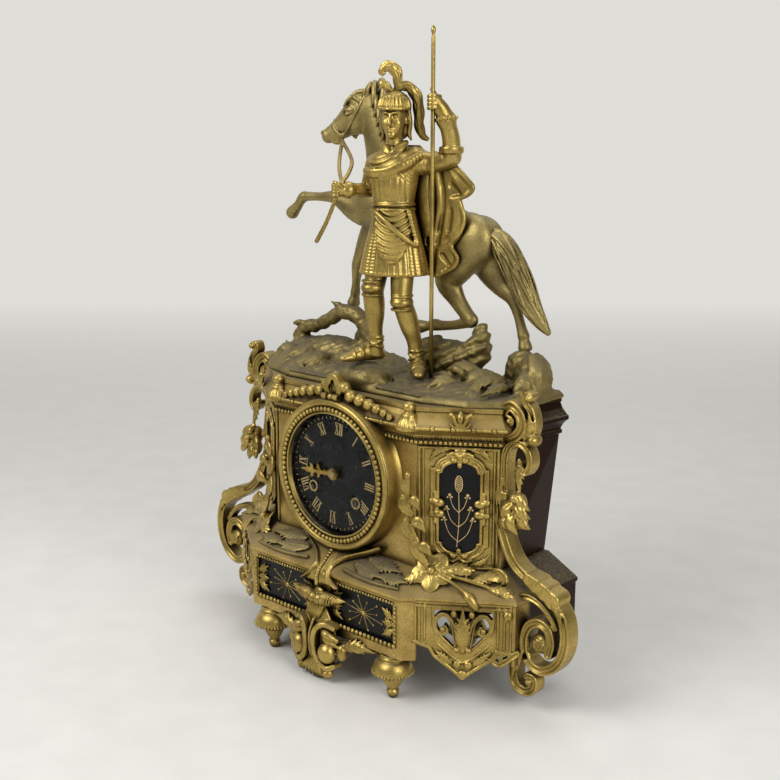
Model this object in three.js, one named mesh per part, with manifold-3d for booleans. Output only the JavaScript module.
// Table clock: shaped case on turned feet, with a standing knight and a rearing horse on top.
// Millimetres, +Z up, the front faces -Y, x = 0 is the middle and z = 0 is the table.
import * as THREE from 'three';
import { mergeVertices } from 'three/addons/utils/BufferGeometryUtils.js';
import Module from 'manifold-3d';

const wasm = await Module();
wasm.setup();

// Driving dimensions
const gap = 0.3;
const wall = 4;
const dialRadius = 45;
const dialTwistDegrees = 5.9;
const footHeight = 36;
const blockHeight = 49.5;
const deckRise = 13.5;
const bodyHeight = 91;
const corniceHeight = 28;
const blockHalfWidth = 79;
const cantRun = 60;
const cantDepth = 41;
const frontY = -55.5;
const backY = 62;
const bodyHalfWidth = 72;
const plateSpacing = 33;
const lanceTopZ = 478;

// Heights and depths that follow from them
const blockTopZ = footHeight + blockHeight;
const bodyBaseZ = blockTopZ + deckRise;
const bodyTopZ = bodyBaseZ + bodyHeight;
const corniceBaseZ = bodyTopZ + gap;
const corniceTopZ = bodyTopZ + corniceHeight;
const terraceBaseZ = corniceTopZ + gap;
const dialCentreZ = bodyBaseZ + dialRadius + 12.2;
const bodyFrontY = frontY + 24.5;
const dialFrontY = bodyFrontY - 9;
const drumFrontY = dialFrontY - 4.5;
const drumRadius = dialRadius + 12.2;
const boreRadius = dialRadius + 1.6;
const rearHoleRadius = dialRadius + 1;
const frontReachY = frontY - 12.5;

// Materials
const gilt = { color: 0xb9924a, roughness: 0.38, metalness: 0.9 };
const patina = { color: 0x8b7d55, roughness: 0.55, metalness: 0.75 };
const blackSlab = { color: 0x101012, roughness: 0.2, metalness: 0.05 };
const brass = { color: 0xc2a04f, roughness: 0.3, metalness: 0.95 };
const steel = { color: 0x8d9094, roughness: 0.3, metalness: 0.95 };
const clearGlass = { color: 0xdfe8ea, roughness: 0.03, metalness: 0 };

const clock = new THREE.Group();
clock.name = 'table_clock';

const flat = (x, y) => new THREE.Vector2(x, y);
const at = (x, y, z) => new THREE.Vector3(x, y, z);
const radians = THREE.MathUtils.degToRad;

// Boolean helpers: a solid is a manifold body, a geometry is a three.js mesh shape.
function solid(geometry) {
  const bare = new THREE.BufferGeometry();
  bare.setAttribute('position', geometry.getAttribute('position').clone());
  if (geometry.index) bare.setIndex(geometry.index.clone());
  const merged = mergeVertices(bare, 1e-4);
  const corners = merged.index.array;
  const kept = [];
  for (let i = 0; i < corners.length; i += 3) {
    const [a, b, c] = [corners[i], corners[i + 1], corners[i + 2]];
    if (a !== b && b !== c && c !== a) kept.push(a, b, c);
  }
  const points = merged.attributes.position.array;
  return new wasm.Manifold(new wasm.Mesh({
    numProp: 3,
    vertProperties: new Float32Array(points),
    triVerts: new Uint32Array(facingOut(points, kept)),
  }));
}

// Turns a closed triangle list round if its faces point inwards.
function facingOut(points, corners) {
  const corner = (i) => at(points[3 * i], points[3 * i + 1], points[3 * i + 2]);
  let volume = 0;
  for (let i = 0; i < corners.length; i += 3) {
    const [a, b, c] = [corner(corners[i]), corner(corners[i + 1]), corner(corners[i + 2])];
    volume += a.dot(b.cross(c));
  }
  if (volume >= 0) return corners;
  const turned = [];
  for (let i = 0; i < corners.length; i += 3) turned.push(corners[i], corners[i + 2], corners[i + 1]);
  return turned;
}

const join = (pieces) => pieces.reduce((whole, piece) => whole.add(piece));
const cut = (whole, tools) => tools.reduce((left, tool) => left.subtract(tool), whole);

function geometryOf(body) {
  const mesh = body.getMesh();
  const geometry = new THREE.BufferGeometry();
  geometry.setAttribute('position', new THREE.BufferAttribute(new Float32Array(mesh.vertProperties), 3));
  geometry.setIndex(new THREE.BufferAttribute(new Uint32Array(mesh.triVerts), 1));
  geometry.computeVertexNormals();
  return geometry;
}

function addPart(name, body, look, place = at(0, 0, 0)) {
  const mesh = new THREE.Mesh(geometryOf(body), new THREE.MeshStandardMaterial(look));
  mesh.name = name;
  mesh.position.copy(place);
  clock.add(mesh);
}

const mirrored = (body) => body.mirror([1, 0, 0]);

function addPair(name, body, look) {
  addPart(`${name}_right`, body, look);
  addPart(`${name}_left`, mirrored(body), look);
}

// Shape helpers
function ringLoft(rings) {
  const count = rings[0].length;
  const points = rings.flat();
  const corners = [];
  for (let r = 0; r + 1 < rings.length; r++) {
    for (let i = 0; i < count; i++) {
      const [a, b] = [r * count + i, r * count + (i + 1) % count];
      corners.push(a, b, b + count, a, b + count, a + count);
    }
  }
  for (const [r, turn] of [[0, true], [rings.length - 1, false]]) {
    for (const [a, b, c] of capTriangles(rings[r])) {
      const base = r * count;
      corners.push(base + a, base + (turn ? c : b), base + (turn ? b : c));
    }
  }
  const geometry = new THREE.BufferGeometry().setFromPoints(points);
  geometry.setIndex(corners);
  return solid(geometry);
}

// Triangles that close a ring, found on the plane the ring lies flattest to.
function capTriangles(ring) {
  const normal = at(0, 0, 0);
  ring.forEach((p, i) => normal.add(p.clone().cross(ring[(i + 1) % ring.length])));
  const side = Math.abs(normal.x) < 0.7 * normal.length() ? at(1, 0, 0) : at(0, 1, 0);
  const u = side.cross(normal).normalize();
  const v = normal.clone().cross(u).normalize();
  return THREE.ShapeUtils.triangulateShape(ring.map((p) => flat(p.dot(u), p.dot(v))), []);
}

// An upright casting: the shape's own x and y are x and z, and it is thick along y.
function upright(shape, frontFaceY, thickness) {
  const geometry = new THREE.ExtrudeGeometry(shape, { depth: thickness, bevelEnabled: false, curveSegments: 8 });
  geometry.rotateX(Math.PI / 2);
  geometry.translate(0, frontFaceY + thickness, 0);
  return solid(geometry);
}

function polygon(points) {
  return new THREE.Shape(points.map(([x, y]) => flat(x, y)));
}

// A body turned about the vertical through x, y; the profile lists radius and height from the bottom.
function turnedUp(profile, sides, x = 0, y = 0) {
  const geometry = new THREE.LatheGeometry(profile.map(([r, z]) => flat(r, z)), sides);
  geometry.rotateX(Math.PI / 2);
  geometry.translate(x, y, 0);
  return solid(geometry);
}

// A body turned about the line along y through x, z; the profile lists radius and depth y.
function turnedDeep(profile, sides, x = 0, z = 0) {
  const geometry = new THREE.LatheGeometry(profile.map(([r, y]) => flat(r, y)), sides);
  geometry.translate(x, 0, z);
  return solid(geometry);
}

function rodDeep(radius, y0, y1, sides, x = 0, z = 0) {
  return turnedDeep([[0, y0], [radius, y0], [radius, y1], [0, y1]], sides, x, z);
}

function ballAt(centre, rx, ry, rz, sides = 10, tiers = 6) {
  const geometry = new THREE.SphereGeometry(1, sides, tiers);
  geometry.scale(rx, ry, rz);
  geometry.translate(centre.x, centre.y, centre.z);
  return solid(geometry);
}

function boxAt(x0, x1, y0, y1, z0, z1) {
  const geometry = new THREE.BoxGeometry(x1 - x0, y1 - y0, z1 - z0);
  geometry.translate((x0 + x1) / 2, (y0 + y1) / 2, (z0 + z1) / 2);
  return solid(geometry);
}

// A limb: elliptical rings across a path. Each station is a point, a half width and a half depth.
function limb(stations, across, sides = 10) {
  const rings = stations.map(([centre, halfWidth, halfDepth], i) => {
    const before = stations[Math.max(i - 1, 0)][0];
    const after = stations[Math.min(i + 1, stations.length - 1)][0];
    const along = after.clone().sub(before).normalize();
    const deep = along.clone().cross(across).normalize();
    const wide = deep.clone().cross(along).normalize();
    return Array.from({ length: sides }, (_, k) => {
      const turn = (2 * Math.PI * k) / sides;
      return centre.clone()
        .addScaledVector(wide, halfWidth * Math.cos(turn))
        .addScaledVector(deep, halfDepth * Math.sin(turn));
    });
  });
  return ringLoft(rings);
}

// A flat band of the given width along a smooth curve through points, tapering towards its end.
function band(points, width, endWidth, steps) {
  const curve = new THREE.CatmullRomCurve3(points.map(([x, y]) => at(x, y, 0)), false, 'centripetal');
  const [left, right] = [[], []];
  for (let i = 0; i <= steps; i++) {
    const along = curve.getTangentAt(i / steps);
    const half = THREE.MathUtils.lerp(width, endWidth, i / steps) / 2;
    const middle = curve.getPointAt(i / steps);
    left.push([middle.x - along.y * half, middle.y + along.x * half]);
    right.unshift([middle.x + along.y * half, middle.y - along.x * half]);
  }
  return polygon([...left, ...right]);
}

// Plan outlines: the right-hand half runs from the front edge to the back edge and is then mirrored.
const plinthHalf = [
  flat(blockHalfWidth, frontY),
  flat(blockHalfWidth + 6.5, frontY + 6.5),
  flat(blockHalfWidth + 6.5 + cantRun, frontY + 6.5 + cantDepth),
  flat(blockHalfWidth + 9 + cantRun, backY),
];
const bodyCorner = flat(bodyHalfWidth + 50, bodyFrontY + 33);
const bodyHalf = (lean) => [
  flat(bodyHalfWidth, bodyFrontY),
  bodyCorner,
  flat(bodyCorner.x + lean, backY),
];
const leanBase = -3;
const leanTop = 7;

// Moves every edge but the back one outwards by grow.
function grownHalf(half, grow) {
  const chain = [flat(0, half[0].y), ...half];
  const edges = half.map((end, i) => {
    const along = end.clone().sub(chain[i]).normalize();
    const normal = flat(along.y, -along.x);
    return { along, start: chain[i].clone().addScaledVector(normal, grow) };
  });
  const moved = edges.slice(0, -1).map((edge, i) => meeting(edge, edges[i + 1]));
  const last = edges[edges.length - 1];
  moved.push(meeting(last, { start: flat(0, half[half.length - 1].y), along: flat(1, 0) }));
  return moved;
}

function meeting(a, b) {
  const across = a.along.x * b.along.y - a.along.y * b.along.x;
  const apart = b.start.clone().sub(a.start);
  return a.start.clone().addScaledVector(a.along, (apart.x * b.along.y - apart.y * b.along.x) / across);
}

function planRing(half, z) {
  const right = half.map((p) => at(p.x, p.y, z));
  const left = half.map((p) => at(-p.x, p.y, z)).reverse();
  return [...right, ...left];
}

// Same as planRing, with the back edge moved forward as well, for hollows.
function hollowRing(half, inset, z) {
  return planRing(grownHalf(half, -inset), z).map((p) => at(p.x, Math.min(p.y, backY - inset), z));
}

// Plinth
const cantLength = Math.hypot(cantRun, cantDepth);
const cantTurn = Math.atan2(cantDepth, cantRun);
const cantStart = plinthHalf[1];
const apronThickness = 6;
const apronSide = 2;
const apronTopZ = blockTopZ - 3;
const panelSlab = { inner: 9, outer: blockHalfWidth - 7, low: footHeight + 7, high: blockTopZ - 6.5, deep: 4 };

// Puts an upright casting, drawn from x = 0 with its face on y = 0, on the right-hand canted side.
function onCant(body) {
  return body.rotate([0, 0, THREE.MathUtils.radToDeg(cantTurn)]).translate([cantStart.x, cantStart.y, 0]);
}

const deckTop = [
  flat(bodyHalfWidth - 1, bodyFrontY - 2.5),
  flat(bodyHalfWidth + 2, bodyFrontY - 1.5),
  flat(bodyCorner.x + 2, bodyCorner.y - 2),
  flat(bodyCorner.x + 1, backY),
];
const plinthOutside = (grow) => ringLoft([
  planRing(grownHalf(plinthHalf, grow), footHeight - grow),
  planRing(grownHalf(plinthHalf, grow), blockTopZ - 5 - grow),
  planRing(grownHalf(plinthHalf, 1.5 + grow), blockTopZ - 3.5 - grow),
  planRing(grownHalf(plinthHalf, 1.5 + grow), blockTopZ - 1 + grow),
  planRing(grownHalf(plinthHalf, grow), blockTopZ + grow),
  planRing(grownHalf(deckTop, grow), bodyBaseZ - gap + grow),
]);
const footPlaces = { front: flat(blockHalfWidth - 14.5, frontY + 8.5), rear: flat(bodyHalfWidth - 12, backY - 17) };

function plinthFrame() {
  const inside = ringLoft([
    hollowRing(plinthHalf, wall + 2, footHeight - 1),
    hollowRing(plinthHalf, wall + 2, blockTopZ - wall),
    hollowRing(deckTop, wall + 6, bodyBaseZ - wall),
    hollowRing(deckTop, wall + 6, bodyBaseZ + 1),
  ]);
  const cantOpening = onCant(boxAt(apronSide, cantLength - apronSide, -4, wall + 14, 0, apronTopZ + gap));
  const { inner, outer, low, high, deep } = panelSlab;
  const recess = boxAt(inner - gap, outer + gap, frontY - 3, frontY + deep, low - gap, high + gap);
  const sideSill = boxAt(plinthHalf[2].x - 30, plinthHalf[3].x + 9, plinthHalf[2].y + 16, backY + 1,
    footHeight - 1, footHeight + 8);
  const { x, y } = footPlaces.rear;
  const ledge = boxAt(x - 15, x + 15, y - 13, backY - 1, footHeight, footHeight + wall);
  const tools = [cantOpening, recess, sideSill].flatMap((tool) => [tool, mirrored(tool)]);
  return join([cut(plinthOutside(0), [inside, ...tools]), ledge, mirrored(ledge)]);
}
addPart('plinth_frame', plinthFrame(), gilt);

function frontPanel() {
  const { inner, outer, low, high, deep } = panelSlab;
  return boxAt(inner, outer, frontY + 1.8, frontY + deep - gap, low, high);
}
addPair('panel', frontPanel(), blackSlab);

// Pierced apron: a frame with an open middle, a drooping lower edge, two C-scrolls and a leaf.
function apron() {
  const [low, mid, top] = [footHeight + 10, cantLength / 2, apronTopZ];
  const [left, right] = [apronSide + gap, cantLength - apronSide - gap];
  const droop = 12;
  const outline = polygon([
    [left, top], [left, low], [mid - 26, low - 3], [mid - 16, low - droop], [mid - 6, low - droop - 8],
    [mid, low - droop - 10], [mid + 6, low - droop - 8], [mid + 16, low - droop], [mid + 24, low - 8],
    [right - 7, low - 10], [right - 2, low - 6], [right, low],  [right, top],
  ]);
  const opening = polygon([
    [mid - 23, top - 11], [mid - 23, low + 17], [mid - 18, low + 7], [mid - 8, low - 3],
    [mid, low - 5], [mid + 8, low - 3], [mid + 18, low + 7], [mid + 23, low + 17], [mid + 23, top - 11],
  ]);
  const leaf = polygon([
    [mid - 3, low - 6], [mid - 7, low + 10], [mid - 9, low + 20], [mid - 4, top - 9],
    [mid + 4, top - 9], [mid + 9, low + 20], [mid + 7, low + 10], [mid + 3, low - 6],
  ]);
  const scroll = (way) => band([
    [mid + way * 5, low + 21], [mid + way * 11, low + 23], [mid + way * 18, low + 20], [mid + way * 20, low + 13],
    [mid + way * 15, low + 9], [mid + way * 12, low + 13], [mid + way * 16, low + 16],
  ], 4.6, 3, 9);
  const tie = (way) => boxAt(mid + way * 21 - 3, mid + way * 21 + 3, 1, apronThickness - 1, low + 11, low + 19);
  const frame = cut(upright(outline, 0, apronThickness), [upright(opening, -1, apronThickness + 2)]);
  return onCant(join([
    frame, upright(leaf, -2, apronThickness + 1),
    upright(scroll(-1), -0.5, apronThickness - 1), upright(scroll(1), -0.5, apronThickness - 1), tie(-1), tie(1),
  ]));
}
addPair('apron', apron(), gilt);

// Turned foot: ball tip, fluted cone, cushion and neck
function foot(place) {
  const top = footHeight - gap;
  return turnedUp([
    [0, 0], [2.6, 0], [4.4, 3], [3.2, 6.4], [7.8, top * 0.48], [15, top * 0.53], [15.8, top * 0.58],
    [14, top * 0.68], [9.6, top * 0.84], [9.4, top], [0, top],
  ], 10, place.x, place.y);
}
addPair('foot_front', foot(footPlaces.front), gilt);
addPair('foot_rear', foot(footPlaces.rear), gilt);

// Ornament under the middle of the front block
function frontOrnament() {
  const faceY = frontY - gap;
  const across = at(1, 0, 0);
  const cabochon = ballAt(at(0, faceY - 7.8, footHeight - 13), 9.5, 4.4, 10.5, 10, 5);
  const neck = limb([
    [at(0, faceY - 2.6, footHeight + 31), 5, 2.4], [at(0, faceY - 3.4, footHeight + 22), 8.5, 3.2],
    [at(0, faceY - 4, footHeight + 8), 8, 3.8], [at(0, faceY - 5, footHeight - 6), 12, 4.6],
    [at(0, faceY - 5.4, footHeight - 18), 11, 4.6], [at(0, faceY - 5, footHeight - 27), 9, 4],
    [at(0, faceY - 4.6, 2.4), 7, 3],
  ], across, 8);
  const bud = limb([
    [at(5, faceY - 3, footHeight + 26), 3.2, 2.4], [at(12, faceY - 4, footHeight + 29), 5, 3.6],
    [at(19, faceY - 3.6, footHeight + 29.5), 4.2, 3], [at(26, faceY - 3, footHeight + 28), 1.4, 1.2],
  ], at(0, 0, 1), 6);
  const wing = limb([
    [at(6, faceY - 4.6, footHeight + 3), 2.4, 2.4], [at(13, faceY - 5, footHeight - 3), 4.4, 4],
    [at(15, faceY - 5.4, footHeight - 14), 4.6, 4.4], [at(9, faceY - 5.4, footHeight - 24), 3, 3.4],
  ], across, 6);
  const arm = limb([
    [at(8, faceY - 3, footHeight - 11), 5, 4], [at(25, frontY + 1, footHeight - 8.5), 4.2, 3.6],
    [at(37, frontY + 3, footHeight - 6), 3.6, 3.2], [at(49, frontY + 4, footHeight - 4), 2, 2],
  ], at(0, 0, 1), 6);
  const sides = [bud, wing, arm].flatMap((piece) => [piece, mirrored(piece)]);
  return join([neck, cabochon, ...sides]);
}
addPart('front_ornament', frontOrnament(), gilt);

// Tie from under the drum, down the sloping deck and over the edge of the front block
function drumStrap() {
  const deckSlope = (bodyBaseZ - gap - blockTopZ) / (deckTop[0].y - frontY);
  const [thick, wide] = [1.8, 17];
  const overDeck = (y) => [y, blockTopZ + deckSlope * (y - frontY) + thick];
  const path = [
    overDeck(drumFrontY + 3), overDeck(frontY + 5), overDeck(frontY + 0.5), [frontY - 3.2, blockTopZ - 2],
    [frontY - 2.2, blockTopZ - 9], [frontY - thick / 2 - gap, footHeight + 34.5],
  ];
  const geometry = new THREE.ExtrudeGeometry(band(path, thick, thick, 10), { depth: wide, bevelEnabled: false });
  geometry.applyMatrix4(new THREE.Matrix4().makeBasis(at(0, 1, 0), at(0, 0, 1), at(1, 0, 0)));
  geometry.translate(-wide / 2, 0, 0);
  return cut(solid(geometry), [plinthOutside(gap)]);
}
addPart('drum_strap', drumStrap(), gilt);

// Body with the dial drum
const drumBackY = bodyFrontY + wall + 3;
const shoulderY = bodyFrontY + 2.3;
const shoulderRadius = boreRadius - 3;
const drumSides = 30;
const bezelHinge = { y: drumFrontY - gap, z: dialCentreZ + drumRadius + 2.7, lug: 2.2, pin: 1, hole: 1.25 };
const doorRadius = rearHoleRadius + 3;
const doorHinge = { x: -doorRadius - 2.6, y: backY + 2.6, lug: 2.1, pin: 1, hole: 1.25 };

const bodyOutside = (grow) => ringLoft([
  planRing(grownHalf(bodyHalf(leanBase), grow), bodyBaseZ - grow),
  planRing(grownHalf(bodyHalf(leanTop), grow), bodyTopZ + grow),
]);

function barX(radius, x0, x1, y, z) {
  const geometry = new THREE.CylinderGeometry(radius, radius, x1 - x0, 8);
  geometry.rotateZ(Math.PI / 2);
  geometry.translate((x0 + x1) / 2, y, z);
  return solid(geometry);
}

function barZ(radius, z0, z1, x, y) {
  const geometry = new THREE.CylinderGeometry(radius, radius, z1 - z0, 8);
  geometry.rotateX(Math.PI / 2);
  geometry.translate(x, y, (z0 + z1) / 2);
  return solid(geometry);
}

function bodyCase() {
  const hollow = ringLoft([
    hollowRing(bodyHalf(leanBase), wall, bodyBaseZ - 1), hollowRing(bodyHalf(leanTop), wall, bodyTopZ + 1),
  ]);
  const shell = cut(bodyOutside(0), [hollow]);
  const drum = rodDeep(drumRadius, drumFrontY, drumBackY, drumSides, 0, dialCentreZ);
  const { y, z, lug, hole } = bezelHinge;
  const bezelLug = join([
    barX(lug, 3.4, 8, y, z), boxAt(3.4, 8, drumFrontY, drumFrontY + 5, z - 5, z + 0.5),
  ]);
  const door = doorHinge;
  const doorLug = (low) => join([
    barZ(door.lug, low, low + 5, door.x, door.y),
    boxAt(door.x - 1.6, door.x + 1.6, backY - 1, door.y, low, low + 5),
  ]);
  const added = [drum, bezelLug, mirrored(bezelLug), doorLug(dialCentreZ + 3.4), doorLug(dialCentreZ - 8.4)];
  return cut(join([shell, ...added]), [
    rodDeep(boreRadius, drumFrontY - 1, shoulderY, drumSides, 0, dialCentreZ),
    rodDeep(shoulderRadius, shoulderY - 1, drumBackY + 1, drumSides, 0, dialCentreZ),
    rodDeep(rearHoleRadius, backY - wall - 6, backY + 0.5, drumSides, 0, dialCentreZ),
    barX(hole, -9, 9, y, z),
    barZ(door.hole, dialCentreZ - 10, dialCentreZ + 10, door.x, door.y),
  ]);
}
addPart('body_case', bodyCase(), gilt);

// Cornice: the profile lists height above its base and how far it stands out from the body.
const corniceProfile = [
  [0, 0.4], [1.4, 2.6], [3.4, 2.6], [4.4, 1.2], [8, 3], [11, 6], [12.4, 8], [15, 8], [16, 6.4],
  [20, 2.4], [24, 0.4], [24.6, 1.4], [corniceHeight - gap, 1.4],
];
const corniceOutside = (grow) => ringLoft(corniceProfile.map(([rise, out]) =>
  planRing(grownHalf(bodyHalf(leanTop), out + grow), corniceBaseZ + rise)));
const tassel = { x: bodyHalfWidth - 4, y: bodyFrontY - 1 };

function cornice() {
  const hollow = ringLoft([-1, corniceHeight + 1].map((rise) =>
    hollowRing(bodyHalf(leanTop), wall + 3, corniceBaseZ + rise)));
  const drumRoom = rodDeep(drumRadius + gap, drumFrontY - 5, drumBackY + gap, drumSides, 0, dialCentreZ);
  const movementRoom = rodDeep(shoulderRadius, drumBackY - 1, drumBackY + wall + 1, drumSides, 0, dialCentreZ);
  const bridge = boxAt(-drumRadius, drumRadius, drumBackY - 1, drumBackY + wall, corniceBaseZ, corniceTopZ - gap);
  const lugRoom = boxAt(-9, 9, drumFrontY - 6, drumFrontY + 6, dialCentreZ, bezelHinge.z + 3.2);
  const drop = turnedUp([
    [0, corniceBaseZ + 11], [9.5, corniceBaseZ + 11.6], [9.8, corniceBaseZ + 14], [6, corniceBaseZ + 20],
    [3, corniceBaseZ + 24.5], [0, corniceBaseZ + 25],
  ], 10, tassel.x, tassel.y);
  const ring = cut(corniceOutside(0), [hollow]);
  const drops = cut(join([drop, mirrored(drop)]), [hollow]);
  return cut(join([ring, drops, bridge]), [drumRoom, movementRoom, lugRoom]);
}
addPart('cornice', cornice(), gilt);

// Canted cartouche frame with its black slab; the face is drawn from the body's front corner.
const bodyCantLength = Math.hypot(bodyCorner.x - bodyHalfWidth, bodyCorner.y - bodyFrontY);
const bodyCantTurn = Math.atan2(bodyCorner.y - bodyFrontY, bodyCorner.x - bodyHalfWidth);

function onBodyCant(body) {
  return body.rotate([0, 0, THREE.MathUtils.radToDeg(bodyCantTurn)]).translate([bodyHalfWidth, bodyFrontY, 0]);
}

// Lobed outline: straight flanks, stepped shoulders and a round lobe at the top and the bottom.
function lobed(halfWidth, halfHeight, step) {
  const [middle, centre] = [bodyCantLength / 2 + 1.6, bodyBaseZ + bodyHeight / 2 + 1];
  const lobe = halfWidth - step;
  const flank = halfHeight - lobe * 0.8;
  const shape = new THREE.Shape();
  shape.moveTo(middle + halfWidth, centre - flank);
  shape.lineTo(middle + halfWidth, centre + flank);
  shape.lineTo(middle + lobe, centre + flank);
  shape.bezierCurveTo(middle + lobe, centre + halfHeight, middle - lobe, centre + halfHeight,
    middle - lobe, centre + flank);
  shape.lineTo(middle - halfWidth, centre + flank);
  shape.lineTo(middle - halfWidth, centre - flank);
  shape.lineTo(middle - lobe, centre - flank);
  shape.bezierCurveTo(middle - lobe, centre - halfHeight, middle + lobe, centre - halfHeight,
    middle + lobe, centre - flank);
  shape.closePath();
  return shape;
}
const slabHalf = { width: 14.4, height: 36, step: 2.2 };
const frameHalf = { width: 20.4, height: 45, step: 2.6 };

function cartouche() {
  const frame = upright(lobed(frameHalf.width, frameHalf.height, frameHalf.step), -3, 3 - gap);
  const window = upright(lobed(slabHalf.width + gap, slabHalf.height + gap, slabHalf.step), -5, 7);
  return onBodyCant(cut(frame, [window]));
}
addPair('cartouche', cartouche(), gilt);
addPair('inset', onBodyCant(upright(lobed(slabHalf.width, slabHalf.height, slabHalf.step), -1.5, 1.5 - gap)),
  blackSlab);

// Crest over the drum: two scrolls, a shell between them and a string of shrinking balls to each side.
// It rests on the drum's top or above the cornice's widest moulding, whichever is higher.
// Each garland entry is the distance from the middle and the height above that seat.
const crestSeatZ = Math.max(dialCentreZ + drumRadius, bodyTopZ + 23.4);
const garland = [[19, 4.1], [28.5, 2], [37.5, 0.2], [45.5, -2.4], [52.5, -5]];
const crestY = bodyFrontY - 7.6;

function crest() {
  const beads = garland.flatMap(([x, rise], i) => {
    const radius = 4.4 - 0.5 * i;
    const slide = 0.9 * radius;
    return [[x - slide, rise + 0.26 * slide, 1.5], [x, rise, radius], [x + slide, rise - 0.26 * slide, 1.5]];
  });
  const string = limb([[6, 7.6, 2], ...beads].map(([x, rise, radius]) =>
    [at(x, crestY, crestSeatZ + rise), radius, radius]), at(0, 1, 0), 5);
  const scroll = upright(band([
    [3, 7.1], [6, 11.6], [12, 15.1], [15.5, 11.1], [11.5, 8.6],
  ].map(([x, rise]) => [x, crestSeatZ + rise]), 5, 4, 6), crestY - 3, 6);
  const shell = ballAt(at(0, crestY, crestSeatZ + 10.6), 6, 4, 5.4, 8, 6);
  const right = [string, scroll];
  return cut(join([shell, ...right, ...right.map(mirrored)]), [corniceOutside(gap)]);
}

// Side console: a long scroll from the body corner to the big volute, a loop, a top volute and a foot.
// Upper points are measured from the body corner, lower ones from the plinth corner.
function sideConsole() {
  const centreY = bodyCorner.y + 1;
  const tall = bodyTopZ / 190;
  const high = (dx, z) => [bodyCorner.x + dx, z * tall];
  const low = (dx, z) => [plinthHalf[2].x + dx, z * tall];
  const flatBand = (points, width, endWidth, steps, thick) =>
    upright(band(points, width, endWidth, steps), centreY - thick / 2, thick);
  const stem = flatBand([
    high(0, 187), high(-2, 165), high(0, 138), high(10, 114), low(4, 104.5), low(21, 99), low(36, 87), low(44, 70),
    low(41.5, 51), low(30, 38.5), low(16, 37.5), low(6, 46), low(5, 59), low(13, 68), low(23, 67), low(28, 59),
    low(24, 52),
  ], 8, 5.6, 24, 12);
  const loop = flatBand([
    high(-2, 178), high(2, 190), high(12, 195.5), high(23, 192), high(27, 183), high(23, 175), high(17.5, 177),
    high(18, 183),
  ], 6, 4, 9, 11);
  const volute = flatBand([
    high(25, 190), high(29, 201), high(28, 211), high(20, 219.5), high(9, 222), high(0, 217.5), high(-1.5, 209),
    high(5, 204.5), high(10, 210),
  ], 6.4, 4, 10, 11);
  const support = flatBand([
    low(7, 46), low(-1, 36), low(-3, 24), low(2, 14.5), low(11, 12), low(17, 17), low(13, 22),
  ], 7, 4, 7, 9);
  const strap = flatBand([low(-5, 84), low(3, 87), low(13, 84), low(23, 78), low(28, 70)], 5, 4, 5, 8);
  const block = boxAt(plinthHalf[2].x - 3, plinthHalf[2].x + 9, centreY - 4, centreY + 4, 46 * tall, 55 * tall);
  const bridge = boxAt(bodyCorner.x, bodyCorner.x + 21, centreY - 3, centreY + 3, 137 * tall, 142 * tall);
  const turned = (profile, x) => turnedUp(profile.map(([r, z]) => [r, z * tall]), 6, x, centreY);
  const finial = turned([
    [0, 214], [3, 215], [3, 222], [2.2, 224], [4.4, 228], [3.4, 232], [1.6, 235.5], [0, 237],
  ], bodyCorner.x + 20);
  const drops = turned([
    [0, 127], [2.6, 129], [5, 137], [3, 140], [6.4, 145], [6.8, 151], [3, 155], [5, 160], [3.4, 169], [1.6, 177],
    [0, 178],
  ], bodyCorner.x + 21);
  const [knobX, knobZ] = high(29.5, 199.5);
  const [eyeX, eyeZ] = low(19, 58);
  const knob = ballAt(at(knobX, centreY, knobZ), 4.6, 6.4, 4.6, 6, 4);
  const eye = ballAt(at(eyeX, centreY, eyeZ), 6, 7.4, 6, 8, 4);
  const whole = join([stem, loop, volute, support, strap, block, bridge, finial, drops, knob, eye]);
  const room = [bodyOutside(gap), corniceOutside(gap), plinthOutside(gap), terraceOutside(gap)];
  return cut(whole, room).decompose().sort((a, b) => b.volume() - a.volume())[0];
}

// Terrace: a rim that follows the case and rocky ground inside it
const rimHalf = [
  flat(bodyHalfWidth - 4, bodyFrontY + 9), flat(bodyHalfWidth + 30, bodyFrontY + 20),
  flat(bodyCorner.x + 2, bodyCorner.y + 4), flat(bodyCorner.x + 9, bodyCorner.y + 24),
  flat(bodyCorner.x + 8, backY),
];
const rimHeight = 5;
const horseY = 47;
const groundZ = terraceBaseZ + rimHeight;
const rightFootRise = 15.5;
const leftFootRise = 6.5;
const hoofRock = { x: 98, behind: 6, rise: 27 };
const kneeRock = { x: 26, behind: -8, rise: 31 };
const terraceOutside = (grow) => ringLoft([
  planRing(grownHalf(rimHalf, grow), terraceBaseZ - grow), planRing(grownHalf(rimHalf, grow), groundZ + grow),
]);

// Low mounds: middle x and y, height and spread
const mounds = [[30, 42, 13, 24], [-35, 30, 15, 24], [-80, 30, 13, 24], [85, 22, 10, 22]];

function groundHeight(x, y) {
  return mounds.reduce((height, [mx, my, rise, spread]) =>
    height + rise * Math.exp(-((x - mx) ** 2 + (y - my) ** 2) / spread ** 2), groundZ + 1);
}

// A rough rock: a turned stack of uneven six-sided tiers
function rock(x, y, radius, rise) {
  const top = groundZ + rise - gap;
  return turnedUp([
    [0, groundZ - 1], [radius * 1.25, groundZ - 1], [radius * 1.2, groundZ + (top - groundZ) * 0.45],
    [radius, top - 2], [radius * 0.82, top], [0, top],
  ], 6, x, y);
}

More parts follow.
